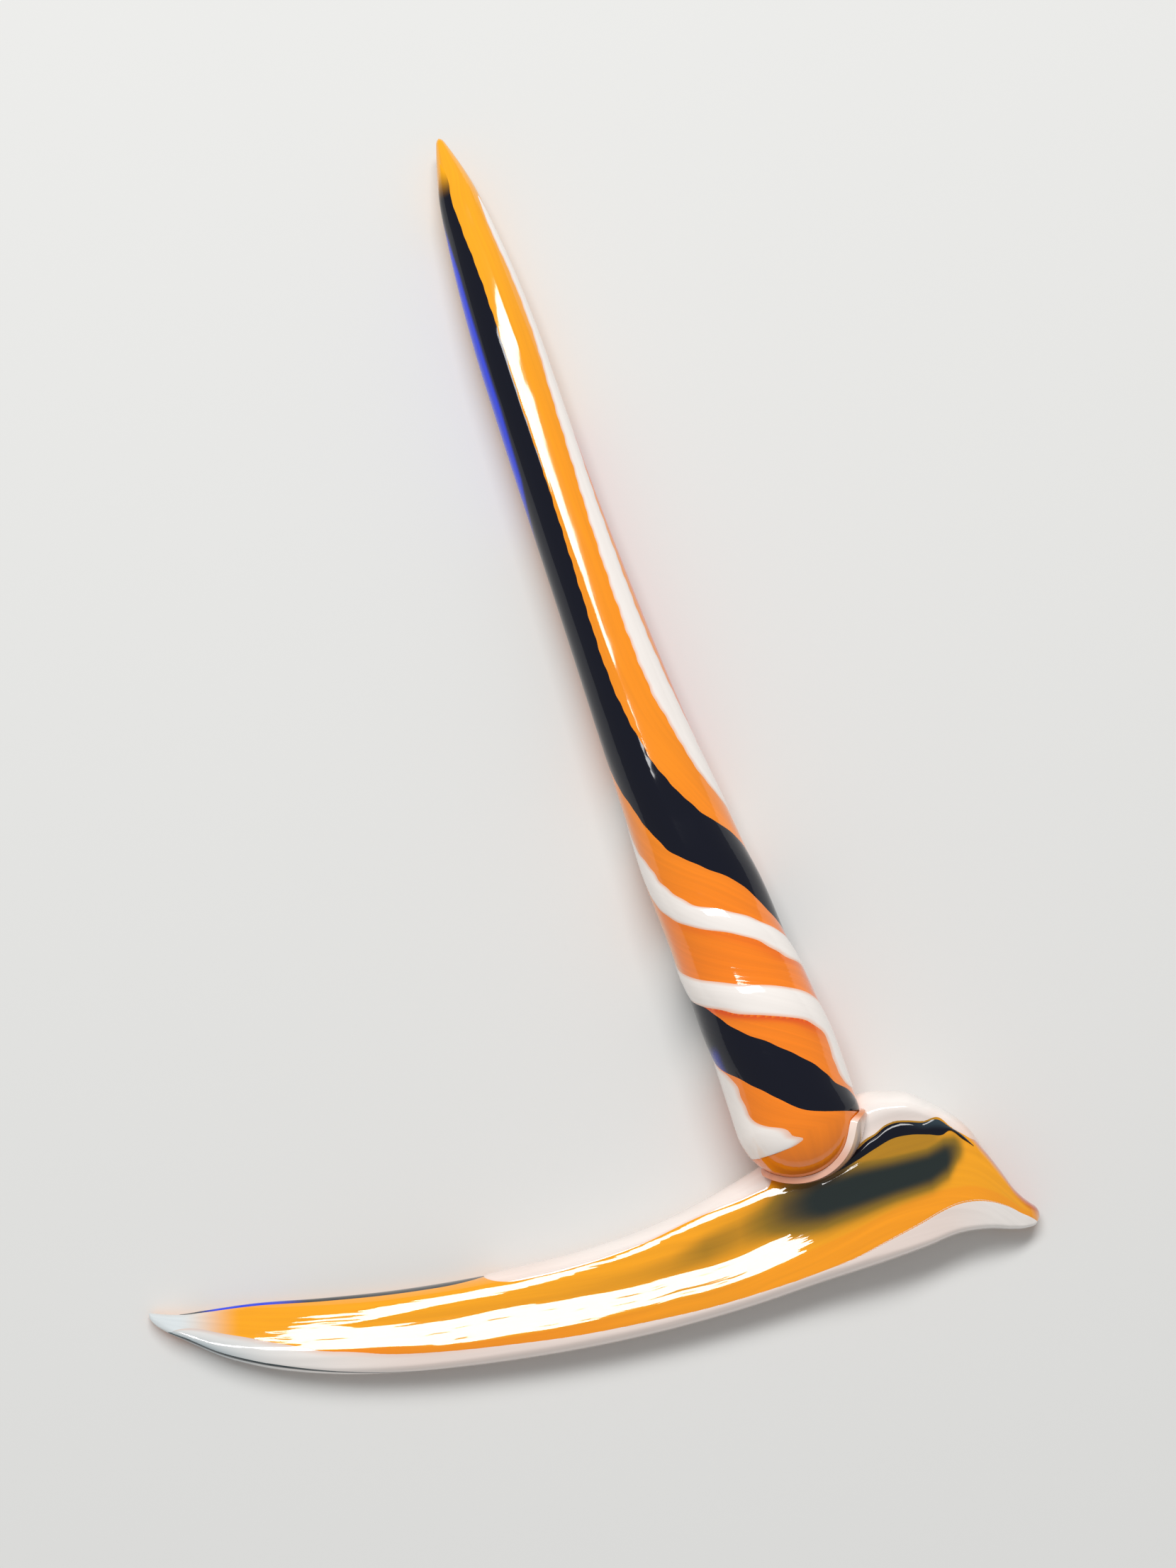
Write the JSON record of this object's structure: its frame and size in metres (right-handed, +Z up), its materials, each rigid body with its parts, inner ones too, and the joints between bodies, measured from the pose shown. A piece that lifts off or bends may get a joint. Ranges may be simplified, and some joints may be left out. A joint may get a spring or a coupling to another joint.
{
  "type": "scythe-shaped glass dip tool",
  "caption": "Lampworked glass tool in orange, white and cobalt: a tapering, twisted handle fused by its round end to the heel of a curved, pointed blade, lying flat.",
  "frame": {"origin": "centre of the tool's box, on the surface it lies on", "axes": "+Z up from the flattened underside, +X towards the blade's heel, +Y towards the handle's tip"},
  "size_m": [0.0752, 0.1082, 0.0105],
  "materials": {
    "orange_glass": "opaque flame-polished glass, glossy",
    "white_glass": "opaque flame-polished glass, glossy",
    "cobalt_glass": "dense cobalt glass that reads black, glossy",
    "weld_glass": "white glass tinted by the orange under it, glossy"
  },
  "bodies": {
    "root": {"handle_core": "orange_glass", "handle_cobalt_cane": "cobalt_glass", "handle_white_cane_back": "white_glass", "handle_white_cane_front": "white_glass", "weld_collar": "weld_glass", "blade_core": "orange_glass", "blade_cobalt_line": "cobalt_glass", "blade_cobalt_edge": "cobalt_glass", "blade_white_upper_cane": "white_glass", "blade_white_lower_cane": "white_glass", "heel_white_cane": "white_glass", "heel_cobalt_cane": "cobalt_glass"}
  },
  "joints": []
}
